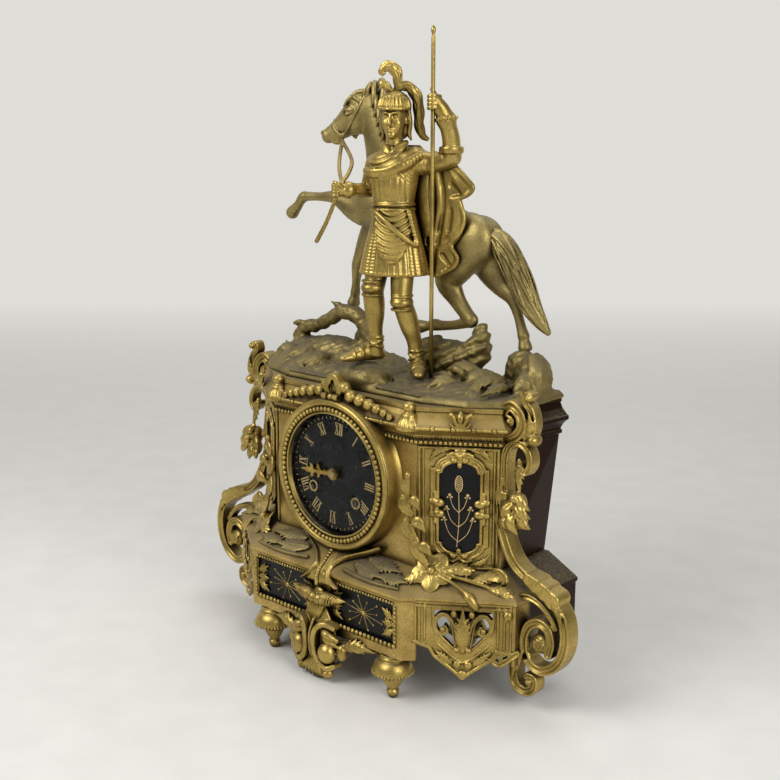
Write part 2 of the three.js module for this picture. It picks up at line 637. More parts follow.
function terrace() {
  const shrunk = (share, z) => planRing(rimHalf, 0).map((p) => {
    const [x, y] = [p.x * share, backY / 3 + (p.y - backY / 3) * share];
    return at(x, y, z ?? groundHeight(x, y));
  });
  const top = ringLoft([
    planRing(rimHalf, terraceBaseZ), planRing(rimHalf, groundZ), shrunk(0.96, groundZ + 0.4), shrunk(0.8),
    shrunk(0.62), shrunk(0.42), shrunk(0.2),
  ]);
  const hollow = ringLoft([
    hollowRing(rimHalf, wall + 3, terraceBaseZ - 1), hollowRing(rimHalf, wall + 3, groundZ - 2),
  ]);
  const right = knightPoint(-20, 5, 0);
  const left = knightPoint(20, 4, 0);
  return join([
    cut(top, [hollow]), rock(right.x, right.y, 8.4, rightFootRise), rock(left.x, left.y, 15, leftFootRise),
    rock(hoofRock.x, horseY + hoofRock.behind, 7, hoofRock.rise),
    rock(kneeRock.x, horseY + kneeRock.behind, 13, kneeRock.rise),
  ]);
}

// Knight: local steps are to the figure's left and forwards; heights of both figures are listed for
// a ground at drawnGroundZ and rise with the real ground.
const drawnGroundZ = 223.3;
const knightPlace = flat(21, 1.5);
const knightTurn = radians(25);

function knightPoint(left, ahead, z) {
  return at(
    knightPlace.x + left * Math.cos(knightTurn) + ahead * Math.sin(knightTurn),
    knightPlace.y + left * Math.sin(knightTurn) - ahead * Math.cos(knightTurn), z + groundZ - drawnGroundZ);
}
const knightLeft = knightPoint(1, 0, 0).sub(knightPoint(0, 0, 0));
const stations = (list) => list.map(([left, ahead, z, wide, deep]) => [knightPoint(left, ahead, z), wide, deep]);
const figureLimb = (list, sides = 6) => limb(stations(list), knightLeft, sides);
const lancePlace = knightPoint(30.5, 7, 0);
const lanceRadius = 1.5;

function knight() {
  const rightSole = drawnGroundZ + rightFootRise;
  const leftSole = drawnGroundZ + leftFootRise;
  const torso = figureLimb([
    [0, 0, 328, 17, 12], [0, 0, 345, 15, 11], [0, 1, 355, 14.5, 11], [0, 1.5, 368, 17, 12.5], [1, 1, 379, 18.5, 12],
    [2, 0, 387, 15, 9.5], [1, 0, 394, 7, 6.5], [0.5, 1, 405, 6, 6],
  ], 10);
  const skirt = figureLimb([
    [0, 0, 306, 25, 17], [0, 0, 318, 22.5, 16], [0, 0, 338, 17.5, 13], [0, 0.5, 352, 15, 11.5],
  ], 10);
  const rightLeg = figureLimb([
    [-9, 2, 322, 9.5, 9.5], [-13.5, 10, 298, 7.4, 7.6], [-13.5, 5, 280, 7, 7.2], [-13.5, 4, 262, 5, 5.2],
    [-13.5, 2, rightSole + 5, 4.8, 5.2],
  ]);
  const leftLeg = figureLimb([
    [8, 2, 322, 9.5, 9.5], [8, 10, 292, 7.4, 7.6], [12, 5, 272, 7, 7.2], [16, 0, 252, 5, 5.2],
    [17.5, -1, leftSole + 5, 4.8, 5.2],
  ]);
  const shoe = (heelLeft, heelAhead, toeLeft, toeAhead, z) => limb(stations([
    [heelLeft, heelAhead, z + 3.6, 3.4, 3.6],
    [0.6 * heelLeft + 0.4 * toeLeft, 0.6 * heelAhead + 0.4 * toeAhead, z + 4.2, 4, 4.8],
    [toeLeft, toeAhead, z + 2.8, 2.2, 3.2],
  ]), at(0, 0, 1), 6);
  const rightArm = figureLimb([
    [-14, -1, 382, 7, 7], [-18, -4, 372, 6.4, 6.4], [-20.5, -3, 364, 5.6, 5.6], [-27, 5, 364, 4.6, 4.6],
    [-32, 11, 364.5, 5.4, 5.4], [-37, 15, 364.5, 4.2, 5.2],
  ], 6);
  const leftArm = figureLimb([
    [16, -1, 384, 8, 8], [29, -5.5, 384, 7, 7], [40, -6, 387, 6.4, 6.4], [41.5, -2, 400, 5, 5],
    [39, 1.5, 413, 5.6, 5.6], [35, 3.2, 421, 4.4, 4.4], [31.5, 3, 430, 3.2, 3.2],
  ], 6);
  const head = ballAt(knightPoint(0.5, 2, 415.5), 9.4, 10.4, 14.5, 8, 6);
  const helmet = turnedUp([
    [0, 417], [11, 417.5], [11.6, 421], [10.6, 427], [6.5, 432.5], [0, 434.5],
  ], 10).translate(knightPoint(0.5, 1, 0).toArray());
  const hilt = figureLimb([[19, 4, 352, 2, 2], [20, 2, 336, 2.2, 2.2], [21, -1, 322, 1.6, 1.6]], 6);
  const lanceRoom = turnedUp([
    [0, 200], [lanceRadius + gap, 200], [lanceRadius + gap, lanceTopZ], [0, lanceTopZ],
  ], 8, lancePlace.x, lancePlace.y);
  return cut(join([
    torso, skirt, rightLeg, leftLeg, shoe(-12, -3, -33, 14, rightSole), shoe(17, -6, 24, 13, leftSole),
    rightArm, leftArm, head, helmet, hilt,
  ]), [lanceRoom]);
}

// Cloak: a sheet hung from the shoulders and thrown out past the left arm, with folds that deepen downwards.
// Each edge entry is a step to the left, a step ahead and a height; the two edges share their count.
const cloakThickness = 2;

function cloak() {
  const edge = (points) => new THREE.CatmullRomCurve3(points.map(([left, ahead, z]) => knightPoint(left, ahead, z)));
  const top = edge([[-12, -10.7, 383], [0, -11.8, 387], [14, -9.6, 389], [30, -12.9, 382], [45, -9, 376], [57, -5, 366]]);
  const hem = edge([[-10, -15, 345], [2, -16.5, 328], [16, -16, 316], [30, -13, 311], [41, -8, 315], [55, -5, 352]]);
  const [columns, rows, folds, foldDepth] = [16, 4, 4, 2];
  const outward = knightPoint(0, -1, 0).sub(knightPoint(0, 0, 0));
  const point = (u, v, side) => {
    const wave = foldDepth * v * Math.cos(2 * Math.PI * folds * u);
    return top.getPoint(u).lerp(hem.getPoint(u), v).addScaledVector(outward, wave + side * cloakThickness);
  };
  const across = Array.from({ length: columns + 1 }, (_, i) => i / columns);
  return ringLoft(Array.from({ length: rows + 1 }, (_, j) => [
    ...across.map((u) => point(u, j / rows, 0)), ...across.map((u) => point(1 - u, j / rows, 1)),
  ]));
}

function lance() {
  const base = groundZ + leftFootRise;
  return turnedUp([
    [0, base], [lanceRadius, base], [lanceRadius, lanceTopZ - 4], [lanceRadius * 0.8, lanceTopZ], [0, lanceTopZ],
  ], 8, lancePlace.x, lancePlace.y);
}

function plume() {
  const tall = figureLimb([
    [-0.5, 1, 434.9, 2.4, 2.4], [-2, 0, 443, 3, 3], [-2, 0, 450, 3.6, 3.2], [-6, 1, 454.5, 3.4, 3], [-11, 2, 451, 1.6, 1.6],
  ]);
  const long = limb(stations([
    [1, 0, 437.5, 2.4, 2.4], [7, -3, 441, 3.4, 3], [15, -6, 438, 4, 3], [20, -9, 428, 4, 3], [21, -10, 416, 3.4, 2.6],
    [22, -11, 405, 1.6, 1.6],
  ]), at(0, 1, 0), 6);
  return join([tall, long]);
}

// Rein: from the bit to the hand, with the loose end hanging
function rein() {
  const hand = knightPoint(-37, 15, 364);
  const radius = 1.3;
  const lift = groundZ - drawnGroundZ;
  const station = (p) => [p, radius, radius];
  return join([
    limb([at(-84, 28.6, 395 + lift), at(-56, 6, 378 + lift), hand.clone().add(at(-2.2, -0.2, 6.2))].map(station), at(0, 0, 1), 6),
    limb([at(-2.2, -0.2, 6.6), at(-5.8, -2.2, -2), at(-25, -8, -40)].map((p) => station(p.add(hand))), at(0, 1, 0), 6),
  ]);
}

// Horse, facing -X; each station is x, how far behind the horse's own middle plane, z, half width and half depth
const horsePart = (list, sides = 6) => limb(
  list.map(([x, behind, z, wide, deep]) => [at(x, horseY + behind, z + groundZ - drawnGroundZ), wide, deep]),
  at(0, 1, 0), sides);

function horse() {
  const kneeTop = drawnGroundZ + kneeRock.rise;
  const hoofTop = drawnGroundZ + hoofRock.rise;
  const barrel = horsePart([
    [-53, 0, 345, 8, 9], [-40, 0, 349, 13, 19], [-12, 0, 346, 15.5, 24], [18, 0, 335, 15.5, 22], [42, 0, 326, 15, 22],
    [62, 0, 320, 14, 20], [76, 0, 320, 8, 12],
  ], 10);
  const neck = horsePart([
    [-24, 0, 356, 12, 22], [-35, -1, 378, 10.5, 19], [-42, -3, 398, 9, 16], [-46, -5, 416, 7.5, 13], [-46, -6, 428, 6, 9],
  ], 8);
  const head = horsePart([
    [-39, -6, 430, 6, 8], [-54, -8, 421, 8, 13], [-70, -11, 409, 6.4, 9.5], [-84, -14, 401, 5.4, 7], [-95, -16, 396, 4, 4.4],
  ], 8);
  const ear = (behind) => horsePart([[-46, behind, 430, 3, 2.6], [-42, behind, 439, 2.2, 2], [-40, behind, 445, 0.6, 0.6]], 4);
  const raisedFore = horsePart([
    [-38, -8, 346, 8, 12], [-60, -10, 346, 6.4, 8.4], [-83, -10, 353, 4.6, 5], [-104, -10, 352, 3.4, 3.4],
    [-121, -10, 351, 3.6, 3.8], [-128, -10, 344, 3.6, 4], [-135, -10, 338, 3.8, 4.6],
  ]);
  const lowFore = horsePart([
    [-38, 8, 344, 8, 12], [-52, 9, 322, 6.4, 8], [-61, 9, 297, 4.4, 4.8], [-63, 9, 283, 3.2, 3.4],
    [-64, 9, 272, 3.8, 4.2],
  ]);
  const nearHind = horsePart([
    [58, -6, 326, 9, 18], [42, -8, 304, 8, 12], [46, -8, 284, 6, 8], [57, -8, 270, 4.6, 5.4],
    [40, -8, kneeTop + 6.4, 3.8, 3.8], [24, -8, kneeTop + 5, 4, 4], [14, -8, kneeTop + 4.6, 4, 4],
  ]);
  const farHind = horsePart([
    [62, 5, 324, 9, 18], [68, 6, 302, 8, 10], [86, 6, 287, 5, 6], [94, 6, 270, 3.6, 3.8],
    [96, 6, hoofTop + 9, 4, 4.2], [98, 6, hoofTop + 1.6, 5, 5],
  ]);
  return join([barrel, neck, head, ear(-10), ear(-3), raisedFore, lowFore, nearHind, farHind]);
}

function horseTail() {
  return horsePart([
    [77.8, 0, 331, 4, 3.4], [89, 0, 329, 6, 5], [101, 0, 313, 7.4, 6.4], [112, 0, 293, 7, 5.6], [120, 0, 279, 4.6, 3.6],
    [125, 0, 270, 1.6, 1.4],
  ]);
}

addPart('terrace', terrace(), patina);
addPart('crest', crest(), gilt);
addPair('console', sideConsole(), gilt);
addPart('knight', knight(), gilt);
addPart('cloak', cloak(), gilt);
addPart('lance', lance(), gilt);
addPart('plume', plume(), gilt);
addPart('rein', rein(), gilt);
addPart('horse', horse(), patina);
addPart('horse_tail', horseTail(), patina);

// Flower spray on the deck: an open flower, a tall leaf beside the drum and a stem with buds.
// Places are steps from the body's front corner, outwards, forwards and up from the deck.
function spray() {
  const place = (out, ahead, up) => at(bodyHalfWidth + out, bodyFrontY - ahead, bodyBaseZ + up);
  const petals = Array.from({ length: 15 }, (_, i) => {
    const turn = (2 * Math.PI * i) / 15;
    const reach = 12 + 3 * Math.cos(5 * turn);
    return [reach * Math.sin(turn), reach * Math.cos(turn)];
  });
  const tilt = 38;
  const flower = upright(polygon(petals), -1.5, 3)
    .rotate([-tilt, 0, THREE.MathUtils.radToDeg(bodyCantTurn)])
    .translate(place(20, 3.5, 1.5).toArray());
  const leaf = limb([
    [place(17, 4, 6), 4, 2], [place(7, 5, 22), 6, 1.8], [place(4, 5.6, 38), 5, 1.8], [place(1, 8, 54), 3.6, 1.6],
    [place(1.4, 7.6, 68), 1.2, 1.2],
  ], at(1, 0.6, 0), 6);
  const stem = limb([
    [place(18, 3, 0), 2.4, 2.4], [place(29, -4, -4), 2, 2], [place(43, -7, -7), 2, 2], [place(56, -14.5, -11), 2, 2],
    [place(64, -20, -18), 1.6, 1.6],
  ], at(0, 0, 1), 6);
  const buds = [place(37, -8, -2), place(57, -15, -11)].map((p) => ballAt(p, 5, 4.4, 4.4, 6, 4));
  return cut(join([flower, leaf, stem, ...buds]), [bodyOutside(gap), plinthOutside(gap)])
    .decompose().sort((a, b) => b.volume() - a.volume())[0];
}
addPair('spray', spray(), gilt);

// Bezel with its glass, hinged at the top of the drum
const bezelThickness = 4.6;
const bezelBackY = drumFrontY - gap;
const bezelFrontY = bezelBackY - bezelThickness;
const glassThickness = 1.2;
const glassBackY = bezelBackY - 1.6;
const glassRadius = dialRadius + 2.4;

function bezel() {
  const ring = turnedDeep([
    [dialRadius, bezelFrontY + 1.4], [dialRadius + 3, bezelFrontY], [drumRadius - 3.4, bezelFrontY],
    [drumRadius, bezelFrontY + 2.4], [drumRadius, bezelBackY],
    [glassRadius + gap, bezelBackY], [glassRadius + gap, glassBackY - glassThickness - gap],
    [dialRadius, glassBackY - glassThickness - gap], [dialRadius, bezelFrontY + 1.4],
  ], drumSides, 0, dialCentreZ);
  const { y, z, lug, hole } = bezelHinge;
  const knuckle = join([
    barX(lug, -3, 3, y, z), boxAt(-3, 3, bezelFrontY + 2.4, bezelBackY, z - 4.4, z),
  ]);
  return cut(join([ring, knuckle]), [
    barX(hole, -4, 4, y, z), boxAt(-4, 4, bezelBackY, bezelBackY + 4, z - 6, z - lug - 0.1),
  ]);
}
addPart('bezel', bezel(), gilt);
addPart('bezel_glass', rodDeep(glassRadius, glassBackY - glassThickness, glassBackY, drumSides, 0, dialCentreZ),
  clearGlass);
addPart('bezel_pin', barX(bezelHinge.pin, -8.6, 8.6, bezelHinge.y, bezelHinge.z), steel);

// Round rear door on a side hinge
function rearDoor() {
  const { x, y, lug, hole } = doorHinge;
  const plate = turnedDeep([
    [0, backY + gap], [doorRadius, backY + gap], [doorRadius, backY + 2], [doorRadius - 5, backY + 3.2], [0, backY + 3.2],
  ], 24, 0, dialCentreZ);
  const knuckle = join([
    barZ(lug, dialCentreZ - 3, dialCentreZ + 3, x, y),
    boxAt(x, x + 7, backY + gap, backY + 2, dialCentreZ - 3, dialCentreZ + 3),
  ]);
  const knob = turnedDeep([
    [0, backY + 3], [1.6, backY + 3], [1.6, backY + 4.2], [3, backY + 5.2], [2.4, -frontReachY], [0, -frontReachY],
  ], 10, doorRadius - 8, dialCentreZ);
  return cut(join([plate, knuckle, knob]), [barZ(hole, dialCentreZ - 4, dialCentreZ + 4, x, y)]);
}
addPart('rear_door', rearDoor(), brass);
addPart('rear_door_pin', barZ(doorHinge.pin, dialCentreZ - 9, dialCentreZ + 9, doorHinge.x, doorHinge.y), steel);

// Movement: places are steps right and up from the dial centre, turned with the dial
const twist = radians(dialTwistDegrees);

function movementPlace(right, up) {
  return at(right * Math.cos(twist) + up * Math.sin(twist), 0, dialCentreZ + up * Math.cos(twist) - right * Math.sin(twist));
}
const plateThickness = 2;
const frontPlateY = shoulderY - gap - plateThickness;
const frontPlateBackY = frontPlateY + plateThickness;
const backPlateY = frontPlateBackY + plateSpacing;
const backPlateBackY = backPlateY + plateThickness;
const depth = (step) => frontPlateBackY + step;
const pivotRadius = 0.6;
const pivotHole = 0.95;
const arborRadius = 2.4;
const arborHole = 3.1;

// Tooth counts and modules
const greatTeeth = 36;
const secondTeeth = 36;
const leaves = 6;
const cannonLeaves = 8;
const centreTeeth = 72;
const thirdTeeth = 64;
const escapeTeeth = 36;
const pinWheelTeeth = 36;
const motionTeeth = 24;
const greatModule = 0.8;
const secondModule = 0.7;
const centreModule = 0.36;
const thirdModule = 0.38;
const pinWheelModule = 0.58;
const cannonModule = 0.75;
const hourModule = (cannonModule * (cannonLeaves + motionTeeth)) / (leaves + motionTeeth);
const pairDistance = (module, teethA, teethB) => (module * (teethA + teethB)) / 2;

// Arbor places, as steps right and up from the dial centre
const barrelStep = flat(0.498 * dialRadius, -0.371 * dialRadius);
const escapeUp = 24;
const greatDistance = pairDistance(greatModule, greatTeeth, leaves);
const secondStep = between(barrelStep, greatDistance, flat(0, 0), pairDistance(secondModule, secondTeeth, leaves));
const thirdStep = between(flat(0, escapeUp), pairDistance(thirdModule, thirdTeeth, leaves), flat(0, 0),
  pairDistance(centreModule, centreTeeth, leaves));
const pinWheelStep = flat(-barrelStep.x, barrelStep.y).add(flat(-0.18, 0.984).multiplyScalar(greatDistance));
const flyStep = pinWheelStep.clone().add(flat(0, pairDistance(pinWheelModule, pinWheelTeeth, leaves)));
const motionDistance = pairDistance(cannonModule, cannonLeaves, motionTeeth);

// The point at the two distances from a and b, on the left of the way from a to b
function between(a, fromA, b, fromB) {
  const line = b.clone().sub(a);
  const along = (fromA ** 2 - fromB ** 2 + line.lengthSq()) / (2 * line.length());
  const aside = Math.sqrt(fromA ** 2 - along ** 2);
  line.normalize();
  return a.clone().addScaledVector(line, along).add(flat(-line.y, line.x).multiplyScalar(aside));
}

const spot = {
  centre: movementPlace(0, 0),
  goingBarrel: movementPlace(barrelStep.x, barrelStep.y),
  strikeBarrel: movementPlace(-barrelStep.x, barrelStep.y),
  second: movementPlace(secondStep.x, secondStep.y),
  third: movementPlace(thirdStep.x, thirdStep.y),
  escape: movementPlace(0, escapeUp),
  anchor: movementPlace(0, escapeUp + 13),
  pinWheel: movementPlace(pinWheelStep.x, pinWheelStep.y),
  fly: movementPlace(flyStep.x, flyStep.y),
  hammer: movementPlace(-33, 18.5),
  minuteWheel: movementPlace(0, motionDistance),
  bell: movementPlace(15, -7),
};
const plateHoles = ['second', 'third', 'escape', 'anchor', 'pinWheel', 'fly', 'hammer'];

// Direction from one arbor to another, counted anticlockwise as seen from the front
const heading = (from, to) => Math.atan2(spot[to].z - spot[from].z, spot[to].x - spot[from].x);

// A toothed wheel about the line along y through the origin, with one tooth pointing along the turn given
function toothed(teeth, module, turn, y0, y1) {
  const shape = new THREE.Shape();
  const tip = (teeth / 2 + 0.55) * module;
  const root = (teeth / 2 - 0.95) * module;
  for (let i = 0; i < teeth; i++) {
    const [a, b] = [i, i + 0.5].map((step) => turn + (2 * Math.PI * step) / teeth);
    if (i === 0) shape.moveTo(tip * Math.cos(a), tip * Math.sin(a));
    else shape.lineTo(tip * Math.cos(a), tip * Math.sin(a));
    shape.lineTo(root * Math.cos(b), root * Math.sin(b));
  }
  shape.closePath();
  return upright(shape, y0, y1 - y0);
}

// The driver has a tooth on the line of centres, the driven wheel a space.
const toothAt = (from, to) => heading(from, to);
const spaceAt = (to, from, teeth) => heading(from, to) + Math.PI + Math.PI / teeth;

// An arbor with thin pivots in both plates
function arbor(radius) {
  const [y0, y1] = [frontPlateBackY + gap, backPlateY - gap];
  return turnedDeep([
    [0, frontPlateY + 0.4], [pivotRadius, frontPlateY + 0.4], [pivotRadius, y0], [radius, y0], [radius, y1],
    [pivotRadius, y1], [pivotRadius, backPlateBackY - 0.4], [0, backPlateBackY - 0.4],
  ], 6);
}

function plate(radius, y, holes) {
  const disc = rodDeep(radius, y, y + plateThickness, 24, 0, dialCentreZ);
  return cut(disc, holes.map(([place, hole]) => rodDeep(hole, y - 1, y + plateThickness + 1, 6, place.x, place.z)));
}
const plateRadius = boreRadius - gap;
const backPlateRadius = plateRadius - 4;
const pillarSpots = [45, 135, 250, 290].map((turn) => movementPlace(
  (backPlateRadius - 3.4) * Math.cos(radians(turn)), (backPlateRadius - 3.4) * Math.sin(radians(turn))));
const trainHoles = plateHoles.map((name) => [spot[name], pivotHole]);
const barrelHoles = [[spot.goingBarrel, arborHole], [spot.strikeBarrel, arborHole]];

addPart('front_plate', plate(plateRadius, frontPlateY, [
  ...trainHoles, ...barrelHoles, [spot.centre, 1.9], ...pillarSpots.map((place) => [place, 1.7]),
]), brass);

function backPlate() {
  const disc = plate(backPlateRadius, backPlateY, [
    ...trainHoles.filter(([place]) => place !== spot.anchor && place !== spot.hammer), ...barrelHoles,
    [spot.centre, pivotHole], [spot.anchor, 2.4], [spot.hammer, 2.4],
  ]);
  const pillar = turnedDeep([
    [0, frontPlateY + 0.4], [1.3, frontPlateY + 0.4], [1.3, frontPlateBackY + gap], [2.4, frontPlateBackY + gap],
    [2.4, backPlateY + 1], [0, backPlateY + 1],
  ], 6);
  return join([disc, ...pillarSpots.map((place) => pillar.translate([place.x, 0, place.z]))]);
}
addPart('back_plate', backPlate(), brass);

function dial() {
  const disc = rodDeep(boreRadius - gap, dialFrontY, dialFrontY + 1, drumSides, 0, dialCentreZ);
  const leg = rodDeep(1.4, dialFrontY + 0.5, frontPlateY - gap, 6);
  const legs = [30, 150, 270].map((turn) => movementPlace(
    0.86 * dialRadius * Math.cos(radians(turn)), 0.86 * dialRadius * Math.sin(radians(turn))));
  const holes = [[spot.centre, 4.6], [spot.goingBarrel, 5.5], [spot.strikeBarrel, 5.5]].map(([place, hole]) =>
    rodDeep(hole, dialFrontY - 1, dialFrontY + 2, 12, place.x, place.z));
  return cut(join([disc, ...legs.map((place) => leg.translate([place.x, 0, place.z]))]), holes);
}
addPart('dial', dial(), blackSlab);

// Spring barrels: a drum with the great wheel at one end, turning on its winding arbor
const barrelRadius = 13.2;

function barrel(wheelStep, drumStart, drumEnd, turn) {
  const wheel = toothed(greatTeeth, greatModule, turn, depth(wheelStep), depth(wheelStep + 2));
  const drum = rodDeep(barrelRadius, depth(drumStart), depth(drumEnd), 18);
  return cut(join([wheel, drum]), [rodDeep(arborHole, frontPlateY, backPlateBackY, 8)]);
}
const goingWheelStep = 3;
const strikeWheelStep = plateSpacing - 7;
addPart('going_barrel', barrel(goingWheelStep, goingWheelStep + 1, 22, toothAt('goingBarrel', 'second')), brass,
  spot.goingBarrel);
addPart('strike_barrel', barrel(strikeWheelStep, 9, strikeWheelStep + 1, toothAt('strikeBarrel', 'pinWheel')), brass,
  spot.strikeBarrel);

function windingArbor(endY) {
  const shaft = rodDeep(arborRadius, frontPlateY - 2, endY, 8);
  const half = arborRadius * 0.62;
  return join([shaft, boxAt(-half, half, dialFrontY - 1, frontPlateY - 1, -half, half)]);
}
addPart('going_arbor', windingArbor(backPlateBackY + 1), steel, spot.goingBarrel);
addPart('strike_arbor', windingArbor(backPlateBackY + 1), steel, spot.strikeBarrel);

// Going train
const centreWheelStep = plateSpacing - 3.2;
const thirdWheelStep = 14;
const secondWheelStep = 23.4;
const escapeStep = 22;
const cannonFrontY = dialFrontY - 4.2;

function centreWheel() {
  const core = turnedDeep([
    [0, cannonFrontY - 1.4], [1.1, cannonFrontY - 1.4], [1.1, depth(1)], [1.25, depth(1)], [1.25, backPlateY - gap],
    [pivotRadius, backPlateY - gap], [pivotRadius, backPlateBackY - 0.4], [0, backPlateBackY - 0.4],
  ], 8);
  return join([
    core,
    toothed(leaves, secondModule, spaceAt('centre', 'second', leaves), depth(secondWheelStep - 1),
      depth(secondWheelStep + 2.4)),
    toothed(centreTeeth, centreModule, toothAt('centre', 'third'), depth(centreWheelStep), depth(centreWheelStep + 1.4)),
  ]);
}
addPart('centre_wheel', centreWheel(), brass, spot.centre);

function secondWheel() {
  return join([
    arbor(1.2),
    toothed(leaves, greatModule, spaceAt('second', 'goingBarrel', leaves), depth(goingWheelStep - 1),
      depth(goingWheelStep + 3)),
    toothed(secondTeeth, secondModule, toothAt('second', 'centre'), depth(secondWheelStep), depth(secondWheelStep + 1.4)),
  ]);
}
addPart('second_wheel', secondWheel(), brass, spot.second);

function thirdWheel() {
  return join([
    arbor(0.7),
    toothed(leaves, centreModule, spaceAt('third', 'centre', leaves), depth(centreWheelStep - 1),
      depth(centreWheelStep + 2)),
    toothed(thirdTeeth, thirdModule, toothAt('third', 'escape'), depth(thirdWheelStep), depth(thirdWheelStep + 1.4)),
  ]);
}
addPart('third_wheel', thirdWheel(), brass, spot.third);

const escapeRadius = 9;

function escapeWheel() {
  const shape = new THREE.Shape();
  for (let i = 0; i < escapeTeeth; i++) {
    const [a, b] = [i, i + 0.25].map((step) => (2 * Math.PI * step) / escapeTeeth);
    if (i === 0) shape.moveTo(escapeRadius * Math.cos(a), escapeRadius * Math.sin(a));
    else shape.lineTo(escapeRadius * Math.cos(a), escapeRadius * Math.sin(a));
    shape.lineTo((escapeRadius - 1.7) * Math.cos(b), (escapeRadius - 1.7) * Math.sin(b));
  }
  shape.closePath();
  return join([
    arbor(0.7), upright(shape, depth(escapeStep), 1.2),
    toothed(leaves, thirdModule, spaceAt('escape', 'third', leaves), depth(thirdWheelStep - 1),
      depth(thirdWheelStep + 2.4)),
  ]);
}
addPart('escape_wheel', escapeWheel(), brass, spot.escape);

// Anchor with two pallets, on an arbor that carries the crutch behind the back plate
const crutchY = backPlateBackY + 3;
const pendulumY = crutchY + 4.5;
const pendulumLength = 146;
const rodRadius = 1.1;

function anchor() {
  const reach = escapeRadius + 1;
  const arms = polygon([
    [-reach * 0.8, -5.4], [-reach * 0.62, -4.6], [-3.6, 0.4], [3.6, 0.4], [reach * 0.62, -4.6], [reach * 0.8, -5.4],
    [reach * 0.74, -2], [4, 2.8], [-4, 2.8], [-reach * 0.74, -2],
  ]);
  const shaft = turnedDeep([
    [0, frontPlateY + 0.4], [pivotRadius, frontPlateY + 0.4], [pivotRadius, frontPlateBackY + gap],
    [1.4, frontPlateBackY + gap], [1.4, crutchY + 1.6], [0, crutchY + 1.6],
  ], 8);
  const arm = boxAt(-1, 1, crutchY, crutchY + 1.2, -32, 0);
  const fork = (way) => boxAt(way * 2.4 - 0.8, way * 2.4 + 0.8, crutchY, pendulumY + 2, -33, -30.5);
  const bar = boxAt(-3.2, 3.2, crutchY, crutchY + 1.2, -33, -30.5);
  return join([upright(arms, depth(escapeStep), 1.2), shaft, arm, bar, fork(-1), fork(1)]);
}
addPart('anchor', anchor(), steel, spot.anchor);

function suspensionCock() {
  const { x, z } = spot.anchor;
  const post = boxAt(x - 9, x - 6, backPlateBackY + gap, pendulumY + 3, z - 6, z + 6);
  const bridge = boxAt(x - 9, x + 6, pendulumY - 2.4, pendulumY + 3, z + 3, z + 6);
  return join([post, bridge]);
}
addPart('suspension_cock', suspensionCock(), brass);

function pendulum() {
  const rod = barZ(rodRadius, -pendulumLength, 2.6, 0, pendulumY);
  const bob = turnedDeep([
    [0, pendulumY - 3.6], [7, pendulumY - 3.2], [11, pendulumY], [7, pendulumY + 3.2], [0, pendulumY + 3.6],
  ], 20, 0, -pendulumLength);
  const nut = barZ(2.2, -pendulumLength - 14, -pendulumLength - 9, 0, pendulumY);
  return join([rod, bob, nut]);
}
addPart('pendulum', pendulum(), brass, spot.anchor);

// Strike train
const pinWheelStepDeep = 4;
const pinCircle = 8.4;
const pinCount = 4;

function pinWheel() {
  const pin = rodDeep(0.7, depth(pinWheelStepDeep), depth(pinWheelStepDeep + 3.4), 4, pinCircle, 0);
  const pins = Array.from({ length: pinCount }, (_, i) => pin.rotate([0, (360 * i) / pinCount, 0]));
  return join([
    arbor(1.2),
    toothed(leaves, greatModule, spaceAt('pinWheel', 'strikeBarrel', leaves), depth(strikeWheelStep - 1),
      depth(strikeWheelStep + 3)),
    toothed(pinWheelTeeth, pinWheelModule, toothAt('pinWheel', 'fly'), depth(pinWheelStepDeep), depth(pinWheelStepDeep + 1.4)),
    ...pins,
  ]);
}
addPart('pin_wheel', pinWheel(), brass, spot.pinWheel);

function fly() {
  return join([
    arbor(0.8), boxAt(-5, 5, depth(10), depth(22), -0.5, 0.5),
    toothed(leaves, pinWheelModule, spaceAt('fly', 'pinWheel', leaves), depth(pinWheelStepDeep - 1),
      depth(pinWheelStepDeep + 2.4)),
  ]);
}
addPart('fly', fly(), steel, spot.fly);

// Count wheel behind the back plate: a disc with a notch after each run of strokes
function countWheel() {
  const radius = 13;
  const disc = turnedDeep([
    [1.75, backPlateBackY + 1.4], [radius, backPlateBackY + 1.4], [radius, backPlateBackY + 2.8],
    [1.75, backPlateBackY + 2.8], [1.75, backPlateBackY + 1.4],
  ], 20);
  const runs = Array.from({ length: 12 }, (_, i) => i + 2);
  const whole = runs.reduce((sum, run) => sum + run, 0);
  let used = 0;
  const notches = runs.map((run) => {
    const turn = (2 * Math.PI * used) / whole;
    used += run;
    const notch = boxAt(radius - 2.2, radius + 1, backPlateBackY, backPlateBackY + 4, -0.55, 0.55);
    return notch.rotate([0, THREE.MathUtils.radToDeg(turn), 0]);
  });
  return cut(disc, notches);
}
addPart('count_wheel', countWheel(), brass, spot.strikeBarrel);

// Bell on its post, mouth towards the back plate, and the hammer beside it
const bellRadius = 26;
const bellMouthY = pendulumY + 7;

function bell() {
  const crown = bellMouthY + 17;
  return turnedDeep([
    [2.4, crown], [12, crown - 1], [20, crown - 5], [bellRadius - 2, crown - 11], [bellRadius, bellMouthY],
    [bellRadius - 1.4, bellMouthY], [bellRadius - 3.4, crown - 11.6], [19.2, crown - 6.4], [11.6, crown - 2.6],
    [2.4, crown - 1.8], [2.4, crown],
  ], 14);
}
addPart('bell', bell(), brass, spot.bell);

function bellPost() {
  const crown = bellMouthY + 17;
  return turnedDeep([
    [0, backPlateBackY + gap], [2.6, backPlateBackY + gap], [2.6, crown - 2.2], [1.9, crown - 2.2], [1.9, crown + 0.5],
    [3.4, crown + 0.5], [3, crown + 3], [0, crown + 3],
  ], 8);
}
addPart('bell_post', bellPost(), steel, spot.bell);

